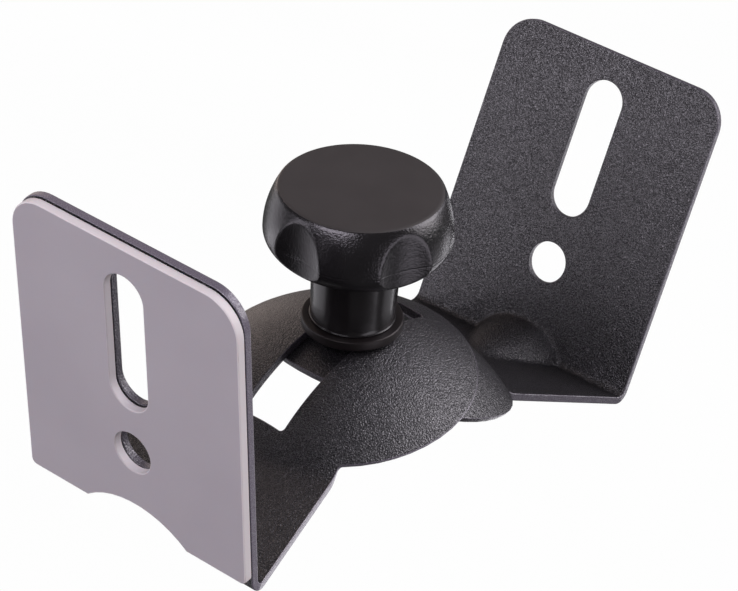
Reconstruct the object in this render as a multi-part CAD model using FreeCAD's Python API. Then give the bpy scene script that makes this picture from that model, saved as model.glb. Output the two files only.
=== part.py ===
import FreeCAD, Part
import math
import os
from FreeCAD import Matrix, Placement, Rotation, Vector

# Speaker wall bracket: two folded sheet brackets whose spherical domes nest,
# clamped together by one hand knob. Sizes are millimetres. The wall is the plane X = 0,
# the arm reaches out along +X, Z is up, and the origin is the wall plate's round hole.
# Each bracket is drawn with its outer plate face at X = 0 and its base underside at Z = 0.

# Sheet brackets
SHEET = 2.0
PLATE_WIDTH = 66.0
PLATE_HEIGHT = 83.9
PLATE_CORNER_R = 9.0
BEND_INNER_R = 1.8
BEND_FOOT = 4.0
TAPER_START_X = 2.9
NECK_X = 45.7
NECK_HALF_WIDTH = 21.1
NECK_CORNER_R = 1.6
MOUNT_SLOT_WIDTH = 11.4
MOUNT_SLOT_LOW_Z = 39.2
MOUNT_SLOT_HIGH_Z = 76.4
MOUNT_HOLE_D = 10.8
MOUNT_HOLE_Z = 26.0

# Domes, given for the speaker bracket, which lies on top
DOME_X = 68.8
DOME_OUTER_R = 51.2
DOME_RISE = 16.25
DOME_CAP_ANGLE = 41.2
DOME_FOOT_BLEND_R = 6.0
DOME_NEST_GAP = 0.2

# The wall bracket lies below, so its dome is one sheet smaller
WALL_DOME_X_OFFSET = 1.9
WALL_DOME_RISE_OFFSET = 0.35
WALL_DOME_CAP_ANGLE = 43.0

# Clamp slot in both domes, measured from the dome axis
CLAMP_SLOT_WIDTH = 13.1
CLAMP_SLOT_NEAR = 28.2
CLAMP_SLOT_FAR = 24.4
CLAMP_SLOT_CORNER_R = 1.6

# Stiffening dart pressed across the middle of each fold; the pad's notch clears the speaker side's wider one
DART_CENTRE_Z = -4.0
DART_LENGTH = 26.3
WALL_DART_HALF_WIDTH = 13.6
WALL_DART_HEIGHT = 13.7
SPEAKER_DART_HALF_WIDTH = 21.5
SPEAKER_DART_HEIGHT = 14.5

# Pad on the speaker plate, with its adhesive backing
PAD_THICKNESS = 2.35
PAD_LOW_Z = 5.0
PAD_DROP = 0.6
PAD_LOW_CORNER_R = 1.6
PAD_EDGE_R = 0.4
PAD_NOTCH_R = 23.9
PAD_NOTCH_TOP_Z = 10.5

# Pose of the speaker bracket against the wall bracket, and of the clamp in the speaker dome
SPEAKER_TILT = 28.57
SPEAKER_ROLL = 1.37
SPEAKER_SWIVEL = 2.55
CLAMP_TILT = 5.67

# Clamp bolt and the dished plate under the wall dome
BOLT_D = 8.0
BOLT_NECK = 8.0
BOLT_NECK_SETBACK = 0.4
BOLT_HEAD_D = 18.0
BOLT_HEAD_HEIGHT = 4.2
BOLT_HEAD_ROUND = 3.0
BOLT_TIP_CHAMFER = 0.8
BOLT_END_RUN = 4.0
BOLT_CLEARANCE = 0.25
CLAMP_PLATE_D = 26.0
CLAMP_PLATE_EDGE = 1.2
KEY_LENGTH = 8.0
KEY_SETBACK = 0.6
KEY_GAP = 1.35
SEAT_GAP = 0.1

# Washer between the speaker dome and the knob
WASHER_D = 24.6
WASHER_FLANGE = 2.5
WASHER_STAND_OFF = 0.3
WASHER_HUB_D = 19.0
WASHER_EDGE_CHAMFER = 0.35

# Knob, with heights from the foot of its stem
KNOB_R = 22.6
KNOB_TOP_R = 19.45
KNOB_EQUATOR_HEIGHT = 24.2
KNOB_UPPER_HEIGHT = 11.45
KNOB_LOWER_HEIGHT = 9.8
STEM_GAP = 0.1
STEM_LOW_R = 10.2
STEM_TOP_R = 10.7
SCALLOP_COUNT = 5
SCALLOP_FLOOR_R = 20.35
SCALLOP_CURVE_R = 21.0
SCALLOP_TURN = 250.0
INSERT_D = 12.0
INSERT_LENGTH = 16.0
INSERT_DEPTH = 1.9
THREAD_GAP = 0.05
INSERT_FIT_GAP = 0.02
KNOB_BORE_D = 9.0
KNOB_BORE_END_RUN = 2.0

# How far cutters run past what they cut, and how near an edge lies to a face it is on
TRIM = 5.0
TOUCH = 0.01

# The slot cutter's ends, as shares of the dome radius
SLOT_CUT_LOW = 0.7
SLOT_CUT_HIGH = 1.2

BEND_OUTER_R = BEND_INNER_R + SHEET
FOOT_X = BEND_OUTER_R + BEND_FOOT
NECK_SLOPE = (PLATE_WIDTH / 2 - NECK_HALF_WIDTH) / (NECK_X - TAPER_START_X)
DOME_CENTRE_Z = DOME_RISE - DOME_OUTER_R
WALL_DOME_X = DOME_X + WALL_DOME_X_OFFSET
WALL_DOME_RISE = DOME_RISE + WALL_DOME_RISE_OFFSET
WALL_DOME_OUTER_R = DOME_OUTER_R - SHEET - DOME_NEST_GAP
WALL_DOME_INNER_R = WALL_DOME_OUTER_R - SHEET
WALL_DOME_CENTRE_Z = WALL_DOME_RISE - WALL_DOME_OUTER_R
JOINT_CENTRE = Vector(WALL_DOME_X, 0, WALL_DOME_CENTRE_Z - MOUNT_HOLE_Z)

# Heights along the clamp axis, from the joint centre
PLATE_SEAT_R = WALL_DOME_INNER_R - SEAT_GAP
PLATE_LOW = math.sqrt(PLATE_SEAT_R ** 2 - (CLAMP_PLATE_D / 2) ** 2) - CLAMP_PLATE_EDGE
HEAD_TOP = PLATE_LOW - SEAT_GAP
NECK_TOP = WALL_DOME_OUTER_R - BOLT_NECK_SETBACK
KEY_TOP = WALL_DOME_OUTER_R - KEY_SETBACK
WASHER_LOW = DOME_OUTER_R + WASHER_STAND_OFF
WASHER_TOP = WASHER_LOW + WASHER_FLANGE
STEM_LOW = WASHER_TOP + STEM_GAP
KNOB_EQUATOR = STEM_LOW + KNOB_EQUATOR_HEIGHT
KNOB_TOP = KNOB_EQUATOR + KNOB_UPPER_HEIGHT
INSERT_LOW = STEM_LOW + INSERT_DEPTH
INSERT_HIGH = INSERT_LOW + INSERT_LENGTH
BOLT_TIP = INSERT_HIGH + BOLT_END_RUN
KNOB_BORE_END = BOLT_TIP + KNOB_BORE_END_RUN

X_AXIS = Vector(1, 0, 0)
Y_AXIS = Vector(0, 1, 0)
Z_AXIS = Vector(0, 0, 1)


def face_of(edges):
    return Part.Face(Part.Wire(edges))


def arc(start, middle, end):
    return Part.Arc(start, middle, end).toShape()


def prism(points, height):
    closed = points + [points[0]]
    return Part.Face(Part.makePolygon(closed)).extrude(Z_AXIS * height)


def obround_cutter(width, low_z, high_z, from_x, length):
    radius = width / 2
    low = Part.makeCylinder(radius, length, Vector(from_x, 0, low_z + radius), X_AXIS)
    high = Part.makeCylinder(radius, length, Vector(from_x, 0, high_z - radius), X_AXIS)
    span = high_z - low_z - width
    middle = Part.makeBox(length, width, span, Vector(from_x, -radius, low_z + radius))
    return low.fuse([middle, high])


def round_cutter(diameter, centre_z, from_x, length):
    return Part.makeCylinder(diameter / 2, length, Vector(from_x, 0, centre_z), X_AXIS)


def corner_cutter(side, top_z, radius, from_x, length):
    # Square corner minus its round, at the plate edge on the given side
    edge_y = side * PLATE_WIDTH / 2
    low_y = edge_y - radius if side > 0 else edge_y - TRIM
    box = Part.makeBox(length, radius + TRIM, radius + TRIM, Vector(from_x, low_y, top_z - radius))
    centre = Vector(from_x, edge_y - side * radius, top_z - radius)
    return box.cut(Part.makeCylinder(radius, length, centre, X_AXIS))


def folded_plate():
    # Upright plate, quarter bend and a short flat foot as one extruded profile
    r_in = BEND_INNER_R
    r_out = BEND_OUTER_R
    half = math.sqrt(0.5)
    y0 = -PLATE_WIDTH / 2
    centre = Vector(r_out, y0, r_out)
    top_out = Vector(0, y0, PLATE_HEIGHT)
    top_in = Vector(SHEET, y0, PLATE_HEIGHT)
    bend_in_start = Vector(SHEET, y0, r_out)
    bend_in_mid = centre + Vector(-r_in * half, 0, -r_in * half)
    bend_in_end = Vector(r_out, y0, SHEET)
    foot_in = Vector(FOOT_X, y0, SHEET)
    foot_out = Vector(FOOT_X, y0, 0)
    bend_out_end = Vector(r_out, y0, 0)
    bend_out_mid = centre + Vector(-r_out * half, 0, -r_out * half)
    bend_out_start = Vector(0, y0, r_out)
    profile = face_of([
        Part.makeLine(top_out, top_in),
        Part.makeLine(top_in, bend_in_start),
        arc(bend_in_start, bend_in_mid, bend_in_end),
        Part.makeLine(bend_in_end, foot_in),
        Part.makeLine(foot_in, foot_out),
        Part.makeLine(foot_out, bend_out_end),
        arc(bend_out_end, bend_out_mid, bend_out_start),
        Part.makeLine(bend_out_start, top_out),
    ])
    plate = profile.extrude(Y_AXIS * PLATE_WIDTH)
    end_x = FOOT_X + TRIM
    end_half = neck_half_width(end_x)
    cutters = []
    for side in (-1, 1):
        cutters.append(corner_cutter(side, PLATE_HEIGHT, PLATE_CORNER_R, -TRIM, SHEET + 2 * TRIM))
        cutters.append(prism([
            Vector(TAPER_START_X, side * PLATE_WIDTH / 2, -TRIM),
            Vector(end_x, side * end_half, -TRIM),
            Vector(end_x, side * (PLATE_WIDTH / 2 + TRIM), -TRIM),
            Vector(TAPER_START_X, side * (PLATE_WIDTH / 2 + TRIM), -TRIM),
        ], TRIM + r_out))
    cutters.append(obround_cutter(MOUNT_SLOT_WIDTH, MOUNT_SLOT_LOW_Z, MOUNT_SLOT_HIGH_Z, -TRIM, SHEET + 2 * TRIM))
    cutters.append(round_cutter(MOUNT_HOLE_D, MOUNT_HOLE_Z, -TRIM, SHEET + 2 * TRIM))
    return plate.cut(cutters)


def domed_sheet(outer_r, centre_z):
    # Flat ring, foot blend and spherical cap, revolved about the dome axis at the origin
    blend = DOME_FOOT_BLEND_R
    inner_r = outer_r - SHEET
    blend_z = SHEET + blend
    reach = outer_r + blend
    blend_x = math.sqrt(reach ** 2 - (blend_z - centre_z) ** 2)
    foot_angle = math.asin(blend_x / reach)
    blend_centre = Vector(blend_x, 0, blend_z)
    sphere_centre = Vector(0, 0, centre_z)

    def on_sphere(radius, angle):
        return sphere_centre + Vector(radius * math.sin(angle), 0, radius * math.cos(angle))

    def on_blend(radius, angle):
        return blend_centre + Vector(-radius * math.sin(angle), 0, -radius * math.cos(angle))

    rim_x = DOME_X + TRIM
    profile = face_of([
        arc(on_sphere(outer_r, 0), on_sphere(outer_r, foot_angle / 2), on_sphere(outer_r, foot_angle)),
        arc(on_blend(blend, foot_angle), on_blend(blend, foot_angle / 2), on_blend(blend, 0)),
        Part.makeLine(Vector(blend_x, 0, SHEET), Vector(rim_x, 0, SHEET)),
        Part.makeLine(Vector(rim_x, 0, SHEET), Vector(rim_x, 0, 0)),
        Part.makeLine(Vector(rim_x, 0, 0), Vector(blend_x, 0, 0)),
        arc(on_blend(blend + SHEET, 0), on_blend(blend + SHEET, foot_angle / 2), on_blend(blend + SHEET, foot_angle)),
        arc(on_sphere(inner_r, foot_angle), on_sphere(inner_r, foot_angle / 2), on_sphere(inner_r, 0)),
        Part.makeLine(on_sphere(inner_r, 0), on_sphere(outer_r, 0)),
    ])
    return profile.revolve(Vector(0, 0, 0), Z_AXIS, 360)


def neck_half_width(x):
    return PLATE_WIDTH / 2 - NECK_SLOPE * (x - TAPER_START_X)


def base_outline(dome_x, outer_r, centre_z, cap_angle):
    # Tapered neck plus a cone from the dome centre, which cuts the rim square to the sheet
    end_x = dome_x - outer_r * math.sin(math.radians(cap_angle)) / 2
    start_half = neck_half_width(BEND_OUTER_R)
    end_half = neck_half_width(end_x)
    neck = prism([
        Vector(BEND_OUTER_R, -start_half, -TRIM),
        Vector(end_x, -end_half, -TRIM),
        Vector(end_x, end_half, -TRIM),
        Vector(BEND_OUTER_R, start_half, -TRIM),
    ], centre_z + outer_r + TRIM)
    height = outer_r + TRIM
    cone_r = height * math.tan(math.radians(cap_angle))
    cone = Part.makeCone(0, cone_r, height, Vector(dome_x, 0, centre_z), Z_AXIS)
    outline = neck.fuse(cone)
    corners = [e for e in outline.Edges if is_neck_corner(e, end_x)]
    return outline.makeFillet(NECK_CORNER_R, corners)


def is_neck_corner(edge, end_x):
    middle = edge.valueAt((edge.FirstParameter + edge.LastParameter) / 2)
    on_side = abs(abs(middle.y) - neck_half_width(middle.x)) < TOUCH
    return on_side and BEND_OUTER_R + TOUCH < middle.x < end_x - TOUCH and edge.BoundBox.ZLength > SHEET


def clamp_slot_cutter(dome_x, outer_r, centre_z):
    # The slot's end walls point at the dome centre, as in a slot punched before the dome was pressed
    near_slope = math.tan(math.asin(CLAMP_SLOT_NEAR / outer_r))
    far_slope = math.tan(math.asin(CLAMP_SLOT_FAR / outer_r))
    low = outer_r * SLOT_CUT_LOW
    high = outer_r * SLOT_CUT_HIGH
    corner = Vector(dome_x, -CLAMP_SLOT_WIDTH / 2, centre_z)
    outline = Part.makePolygon([
        corner + Vector(-near_slope * low, 0, low),
        corner + Vector(far_slope * low, 0, low),
        corner + Vector(far_slope * high, 0, high),
        corner + Vector(-near_slope * high, 0, high),
        corner + Vector(-near_slope * low, 0, low),
    ])
    wedge = Part.Face(outline).extrude(Y_AXIS * CLAMP_SLOT_WIDTH)
    upright = [e for e in wedge.Edges if e.BoundBox.ZLength > high - low - TOUCH]
    return wedge.makeFillet(CLAMP_SLOT_CORNER_R, upright)


def dart_solid(half_width, height, shrink):
    scale = Matrix()
    scale.scale(DART_LENGTH - shrink, half_width - shrink, height - shrink)
    ball = Part.makeSphere(1.0).transformGeometry(scale)
    return ball.translated(Vector(0, 0, DART_CENTRE_Z))


def fold_inside():
    # Everything inside the fold, bounded by the middle of the sheet
    corner = Vector(SHEET / 2, -PLATE_WIDTH / 2, SHEET / 2)
    box = Part.makeBox(DOME_X, PLATE_WIDTH, PLATE_HEIGHT, corner)
    fold = [e for e in box.Edges if e.BoundBox.XMax < SHEET and e.BoundBox.ZMax < SHEET]
    return box.makeFillet(BEND_INNER_R + SHEET / 2, fold)


def bracket(dome_x, outer_r, rise, cap_angle, dart_half_width, dart_height):
    centre_z = rise - outer_r
    dome = domed_sheet(outer_r, centre_z).translated(Vector(dome_x, 0, 0))
    dome = dome.common(base_outline(dome_x, outer_r, centre_z, cap_angle))
    body = folded_plate().fuse(dome)
    dart = dart_solid(dart_half_width, dart_height, 0)
    dart_hollow = dart_solid(dart_half_width, dart_height, SHEET)
    body = body.fuse(dart.common(fold_inside()))
    body = body.cut([dart_hollow, clamp_slot_cutter(dome_x, outer_r, centre_z)])
    return body.removeSplitter()


def placed(body, placement):
    moved = body.copy()
    moved.transformShape(placement.toMatrix(), True)
    return moved


def speaker_placement():
    # The speaker bracket faces the wall bracket and turns about the common dome centre
    tilt = Rotation(Y_AXIS, SPEAKER_TILT)
    roll = Rotation(X_AXIS, SPEAKER_ROLL)
    facing = Rotation(Z_AXIS, 180 - SPEAKER_SWIVEL)
    turn = tilt.multiply(roll).multiply(facing)
    own_centre = Vector(DOME_X, 0, DOME_CENTRE_Z)
    return Placement(JOINT_CENTRE - turn.multVec(own_centre), turn)


def clamp_placement():
    turn = speaker_placement().Rotation.multiply(Rotation(Y_AXIS, CLAMP_TILT))
    return Placement(JOINT_CENTRE, turn)


def keyed_placement():
    # The square neck and its plate line up with the wall slot, not with the speaker slot
    clamp = clamp_placement()
    return Placement(clamp.Base, clamp.Rotation.multiply(Rotation(Z_AXIS, SPEAKER_SWIVEL)))


def wall_bracket():
    body = bracket(WALL_DOME_X, WALL_DOME_OUTER_R, WALL_DOME_RISE, WALL_DOME_CAP_ANGLE,
                   WALL_DART_HALF_WIDTH, WALL_DART_HEIGHT)
    return placed(body, Placement(Vector(0, 0, -MOUNT_HOLE_Z), Rotation()))


def speaker_bracket():
    body = bracket(DOME_X, DOME_OUTER_R, DOME_RISE, DOME_CAP_ANGLE,
                   SPEAKER_DART_HALF_WIDTH, SPEAKER_DART_HEIGHT)
    return placed(body, speaker_placement())


def speaker_pad():
    low_z = PAD_LOW_Z
    high_z = PLATE_HEIGHT - PAD_DROP
    x0 = -PAD_THICKNESS
    pad = Part.makeBox(PAD_THICKNESS, PLATE_WIDTH, high_z - low_z, Vector(x0, -PLATE_WIDTH / 2, low_z))
    top = [e for e in pad.Edges if e.BoundBox.ZMin > high_z - TOUCH and e.BoundBox.YLength < TOUCH]
    pad = pad.makeFillet(PLATE_CORNER_R, top)
    bottom = [e for e in pad.Edges if e.BoundBox.ZMax < low_z + TOUCH and e.BoundBox.YLength < TOUCH]
    pad = pad.makeFillet(PAD_LOW_CORNER_R, bottom)
    notch_z = PAD_NOTCH_TOP_Z - PAD_NOTCH_R
    reach = PAD_THICKNESS + 2 * TRIM
    notch = Part.makeCylinder(PAD_NOTCH_R, reach, Vector(x0 - TRIM, 0, notch_z), X_AXIS)
    slot = obround_cutter(MOUNT_SLOT_WIDTH, MOUNT_SLOT_LOW_Z - PAD_DROP, MOUNT_SLOT_HIGH_Z - PAD_DROP,
                          x0 - TRIM, reach)
    hole = round_cutter(MOUNT_HOLE_D, MOUNT_HOLE_Z, x0 - TRIM, reach)
    pad = pad.cut([notch, slot, hole])
    front = [e for e in pad.Edges if e.BoundBox.XMax < x0 + TOUCH]
    return placed(pad.makeFillet(PAD_EDGE_R, front), speaker_placement())


def clamp_plate():
    # Dished plate under the wall dome; its two keys ride in the wall slot
    disc = Part.makeCylinder(CLAMP_PLATE_D / 2, PLATE_SEAT_R - PLATE_LOW, Vector(0, 0, PLATE_LOW))
    plate = disc.common(Part.makeSphere(PLATE_SEAT_R))
    key_half = CLAMP_SLOT_WIDTH / 2 - KEY_GAP
    key = Part.makeBox(KEY_LENGTH, 2 * key_half, KEY_TOP - PLATE_LOW,
                       Vector(-KEY_LENGTH / 2, -key_half, PLATE_LOW))
    opening = BOLT_NECK + 2 * BOLT_CLEARANCE
    hole = Part.makeBox(opening, opening, KEY_TOP, Vector(-opening / 2, -opening / 2, PLATE_LOW - TRIM))
    return placed(plate.fuse(key).cut(hole).removeSplitter(), keyed_placement())


def clamp_bolt():
    # Round head below the clamp plate, square neck through it, then the shank up to the knob
    head_low = HEAD_TOP - BOLT_HEAD_HEIGHT
    head = Part.makeCylinder(BOLT_HEAD_D / 2, BOLT_HEAD_HEIGHT, Vector(0, 0, head_low))
    head = head.makeFillet(BOLT_HEAD_ROUND, [e for e in head.Edges if e.BoundBox.ZMax < head_low + TOUCH])
    neck = Part.makeBox(BOLT_NECK, BOLT_NECK, NECK_TOP - HEAD_TOP,
                        Vector(-BOLT_NECK / 2, -BOLT_NECK / 2, HEAD_TOP))
    shank = Part.makeCylinder(BOLT_D / 2, BOLT_TIP - HEAD_TOP, Vector(0, 0, HEAD_TOP))
    tip = [e for e in shank.Edges if e.BoundBox.ZMin > BOLT_TIP - TOUCH]
    shank = shank.makeChamfer(BOLT_TIP_CHAMFER, tip)
    return placed(head.fuse([neck, shank]).removeSplitter(), keyed_placement())


def seat_washer():
    # Flanged washer that bridges the speaker slot; its hub is hollowed to the dome's radius
    flange = Part.makeCylinder(WASHER_D / 2, WASHER_TOP - WASHER_LOW, Vector(0, 0, WASHER_LOW))
    rim = [e for e in flange.Edges if e.BoundBox.ZMin > WASHER_TOP - TOUCH]
    flange = flange.makeChamfer(WASHER_EDGE_CHAMFER, rim)
    hub = Part.makeCylinder(WASHER_HUB_D / 2, WASHER_TOP - NECK_TOP, Vector(0, 0, NECK_TOP))
    seat = Part.makeSphere(DOME_OUTER_R + SEAT_GAP)
    bore = Part.makeCylinder(BOLT_D / 2 + BOLT_CLEARANCE, WASHER_TOP)
    return placed(flange.fuse(hub).cut([seat, bore]).removeSplitter(), clamp_placement())


def knob_profile():
    # Half section: straight stem, elliptical underside, round shoulder and flat top
    meet_drop = KNOB_LOWER_HEIGHT * math.sqrt(1 - (STEM_TOP_R / KNOB_R) ** 2)
    meet = Vector(STEM_TOP_R, 0, KNOB_EQUATOR - meet_drop)
    equator = Vector(KNOB_R, 0, KNOB_EQUATOR)
    middle = Vector(0, 0, KNOB_EQUATOR)
    ellipse = Part.Ellipse(equator, middle - Z_AXIS * KNOB_LOWER_HEIGHT, middle)
    underside = Part.ArcOfEllipse(ellipse, 0, math.asin(meet_drop / KNOB_LOWER_HEIGHT)).toShape()
    ledge = KNOB_R - KNOB_TOP_R
    shoulder_r = (KNOB_UPPER_HEIGHT ** 2 + ledge ** 2) / (2 * ledge)
    half_turn = math.asin(KNOB_UPPER_HEIGHT / shoulder_r) / 2
    shoulder_middle = Vector(KNOB_R - shoulder_r * (1 - math.cos(half_turn)), 0,
                             KNOB_EQUATOR + shoulder_r * math.sin(half_turn))
    top_edge = Vector(KNOB_TOP_R, 0, KNOB_TOP)
    stem_edge = Vector(STEM_LOW_R, 0, STEM_LOW)
    return face_of([
        Part.makeLine(Vector(0, 0, STEM_LOW), stem_edge),
        Part.makeLine(stem_edge, meet),
        underside,
        arc(equator, shoulder_middle, top_edge),
        Part.makeLine(top_edge, Vector(0, 0, KNOB_TOP)),
        Part.makeLine(Vector(0, 0, KNOB_TOP), Vector(0, 0, STEM_LOW)),
    ])


def hand_knob():
    body = knob_profile().revolve(Vector(0, 0, 0), Z_AXIS, 360)
    cutters = []
    reach = SCALLOP_FLOOR_R + SCALLOP_CURVE_R
    for i in range(SCALLOP_COUNT):
        turn = math.radians(SCALLOP_TURN + 360 * i / SCALLOP_COUNT)
        at = Vector(reach * math.cos(turn), reach * math.sin(turn), STEM_LOW)
        cutters.append(Part.makeCylinder(SCALLOP_CURVE_R, KNOB_TOP, at))
    bore = Part.makeCylinder(KNOB_BORE_D / 2, KNOB_BORE_END - STEM_LOW + TRIM, Vector(0, 0, STEM_LOW - TRIM))
    pocket = Part.makeCylinder(INSERT_D / 2 + INSERT_FIT_GAP, INSERT_LENGTH, Vector(0, 0, INSERT_LOW))
    return placed(body.cut(cutters).cut([bore, pocket]), clamp_placement())


def knob_insert():
    sleeve = Part.makeCylinder(INSERT_D / 2, INSERT_LENGTH, Vector(0, 0, INSERT_LOW))
    bore = Part.makeCylinder(BOLT_D / 2 + THREAD_GAP, INSERT_HIGH, Vector(0, 0, 0))
    return placed(sleeve.cut(bore), clamp_placement())


PARTS = {
    "wall_bracket": wall_bracket,
    "speaker_bracket": speaker_bracket,
    "speaker_pad": speaker_pad,
    "clamp_plate": clamp_plate,
    "clamp_bolt": clamp_bolt,
    "seat_washer": seat_washer,
    "hand_knob": hand_knob,
    "knob_insert": knob_insert,
}

os.makedirs("parts", exist_ok=True)
for name, build in PARTS.items():
    solid = build()
    print(name, solid.ShapeType, solid.isValid(), round(solid.Volume, 1))
    solid.exportStep("parts/" + name + ".step")
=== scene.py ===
import math
from collections import namedtuple

import bpy
import numpy as np
from mathutils import Matrix, Vector
from mathutils.geometry import delaunay_2d_cdt


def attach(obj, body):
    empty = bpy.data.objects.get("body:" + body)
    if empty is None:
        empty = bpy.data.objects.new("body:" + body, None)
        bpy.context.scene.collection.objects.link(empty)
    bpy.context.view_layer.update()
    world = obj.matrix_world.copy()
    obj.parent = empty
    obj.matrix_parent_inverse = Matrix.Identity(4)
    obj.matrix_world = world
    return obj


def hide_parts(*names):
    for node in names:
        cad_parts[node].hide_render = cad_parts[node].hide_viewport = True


# Speaker wall bracket. The frame is the CAD's: metres, wall at X = 0, arm along +X.
# Sizes are written in millimetres, as in the CAD, and the meshes are scaled by MM.

MM = 0.001

# Sheet brackets
SHEET = 2.0
PLATE_HALF_WIDTH = 33.0
PLATE_HEIGHT = 83.9
PLATE_CORNER_R = 9.0
BEND_INNER_R = 1.8
BEND_OUTER_R = BEND_INNER_R + SHEET
BEND_ARC = BEND_INNER_R * math.pi / 2
TAPER_START_X = 2.9
NECK_X = 45.7
NECK_HALF_WIDTH = 21.1
NECK_SLOPE = (PLATE_HALF_WIDTH - NECK_HALF_WIDTH) / (NECK_X - TAPER_START_X)
NECK_CORNER_R = 1.6
MOUNT_SLOT_HALF_WIDTH = 5.7
MOUNT_SLOT_LOW_Z = 39.2
MOUNT_SLOT_HIGH_Z = 76.4
MOUNT_HOLE_R = 5.4
MOUNT_HOLE_Z = 26.0
CLAMP_SLOT_HALF_WIDTH = 6.55
CLAMP_SLOT_NEAR = 28.2
CLAMP_SLOT_FAR = 24.4
CLAMP_SLOT_CORNER_R = 1.1
DOME_FOOT_BLEND_R = 6.0
EDGE_ROUND = 0.3
EDGE_STEPS = 4

# Painted shade in the holes: how much of the cut edge's lighter tone shows there
SHADED_HOLE_EDGE_SHARE = 0.35

# Dart pressed across each fold: it slopes from the plate to the base, narrows towards its tip
# and runs softly into the sheet
DART_LENGTH = 21.6
DART_NARROWING = 0.019
DART_FULLNESS = 1.5
DART_FLATNESS = 2.2
DART_SOFTNESS = 1.1
DART_RAY_FROM = -6.0
DART_RAY_REACH = 30.0
DART_SEARCH_STEPS = 36
DART_ZONE_U = (-18.0, 31.0)
DART_ZONE_V = 25.0

# The two brackets differ in their dome, in the width and height of their dart and in how bright
# the painted light on their cut edges is
Form = namedtuple("Form", "dome_x outer_r rise cap_angle dart_half_width dart_height edge_tone")
# The last number is the strength of the painted light on the cut edges
SPEAKER_FORM = Form(68.8, 51.2, 16.25, 41.2, 20.5, 8.4, 1.0)
WALL_FORM = Form(70.7, 49.0, 16.6, 43.0, 13.3, 7.6, 0.5)

# Pad, whose backing is set in from its edge; the backing's near-black colour is painted shade
# between the pad and the plate
PAD_THICKNESS = 2.35
PAD_BACKING = 0.3
PAD_BACKING_INSET = 0.2
PAD_LOW_Z = 5.0
PAD_HIGH_Z = 83.3
PAD_DROP = 0.6
PAD_LOW_CORNER_R = 1.6
PAD_NOTCH_R = 23.9
PAD_NOTCH_TOP_Z = 10.5
PAD_EDGE_ROUND = 0.35

# Poses of the speaker bracket and of the clamp about the common dome centre
JOINT_CENTRE = Vector((70.7, 0.0, -58.4))
SPEAKER_TILT = 28.57
SPEAKER_ROLL = 1.37
SPEAKER_SWIVEL = 2.55
CLAMP_TILT = 5.67

# Washer and knob, with heights along the clamp axis from the joint centre
WASHER_LOW = 51.5
WASHER_TOP = 54.0
WASHER_R = 12.3
WASHER_HUB_R = 9.5
WASHER_BORE_R = 4.25
WASHER_SEAT_R = 51.3
WASHER_EDGE_ROUND = 0.4
STEM_LOW = 54.1
STEM_LOW_R = 10.2
STEM_TOP_R = 10.7
STEM_LIP_R = 10.45
STEM_LIP_HEIGHT = 0.35
STEM_FOOT_ROUND = 0.12
KNOB_EQUATOR = 78.3
KNOB_LOWER_HEIGHT = 9.8
KNOB_UPPER_HEIGHT = 11.45
KNOB_R = 22.6
KNOB_TOP_R = 19.45
KNOB_RIM_ROUND = 1.3
KNOB_UNDER_ROUND = 0.9
KNOB_SCALLOPS = 5
SCALLOP_FLOOR_R = 20.35
SCALLOP_CURVE_R = 21.0
SCALLOP_TURN = 250.0
SCALLOP_SOFTNESS = 0.32
PARTING_DEPTH = 0.12
PARTING_HALF_WIDTH = 0.2
KNOB_BORE_R = 4.5
INSERT_POCKET_R = 6.02
INSERT_LOW = 56.0
INSERT_HIGH = 72.0
KNOB_BORE_END = 78.0

# How far below the knob's top its matt look reaches, and the points of the underside's and
# the shoulder's curves at which their rounded corners take aim
KNOB_TOP_LOOK_DEPTH = 0.25
UNDERSIDE_AIM = 3
SHOULDER_AIM = -4

# Rounded edges of the parts that are shown from the CAD
BEVEL_SEGMENTS = 2
BEVEL_ANGLE = 35.0

# Mesh spacing
GRID_FINE = 0.55
GRID_COARSE = 1.1
GRID_CLEARANCE = 0.8 * GRID_FINE
BEND_ZONE_U = (-1.0, 6.0)
BEND_STEPS = 12
OUTLINE_STEP = 0.9
ARC_STEP_ANGLE = 7.5
KNOB_TURNS = 400
KNOB_STEP = 1.2
SHOULDER_STEPS = 30
UNDERSIDE_STEPS = 40
WASHER_TURNS = 160
WASHER_STEP = 1.5
WASHER_SEAT_POINTS = 7

# Small distances for slopes and joins, and how many points are compared at a time
SLOPE_STEP = 0.02
INWARD_STEP = 0.05
WELD_DISTANCE = 1e-7
TINY = 1e-6
POINTS_AT_A_TIME = 4000

# Soft lights, which stand on a ring about the middle of the object
LIGHT_AIM = Vector((0.06, 0.0, 0.0))
LIGHT_DISTANCE = 1.2
LIGHT_SIZE = (0.8, 0.7)
WORLD_GLOW = 0.11
WHITE = (1.0, 1.0, 0.98)
COOL = (0.97, 0.95, 1.0)
WARM = (1.0, 0.83, 0.74)

# Floor, in metres, well below the bracket, which hangs on a wall
FLOOR_HALF_SIZE = 8.0
FLOOR_Z = -0.42

# Noise textures stay mostly between these two values
NOISE_LOW = 0.3
NOISE_HIGH = 0.7

# Places of the colour sockets of a Mix node
MIX_FIRST = 6
MIX_SECOND = 7
MIX_RESULT = 2

# Camera of the photograph, in the frame of the CAD
CAMERA_AT = Vector((759.763, 362.904, 196.455)) * MM
CAMERA_RIGHT = Vector((-0.52128829, 0.79673139, 0.30555777))
CAMERA_UP = Vector((-0.0618003, -0.39240423, 0.91763173))
CAMERA_FORWARD = Vector((-0.85062868, -0.46024998, -0.25416494))
CAMERA_LENS = 161.22
CAMERA_SENSOR = 36.0
CAMERA_NEAR = 0.05
CAMERA_FAR = 30.0

# One row of a sheet edge's section: inset from the cut and depth below the front face,
# the normal's parts along both, and the shares of edge and backing in its look
Row = namedtuple("Row", "inset depth toward down edge backing")

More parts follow.
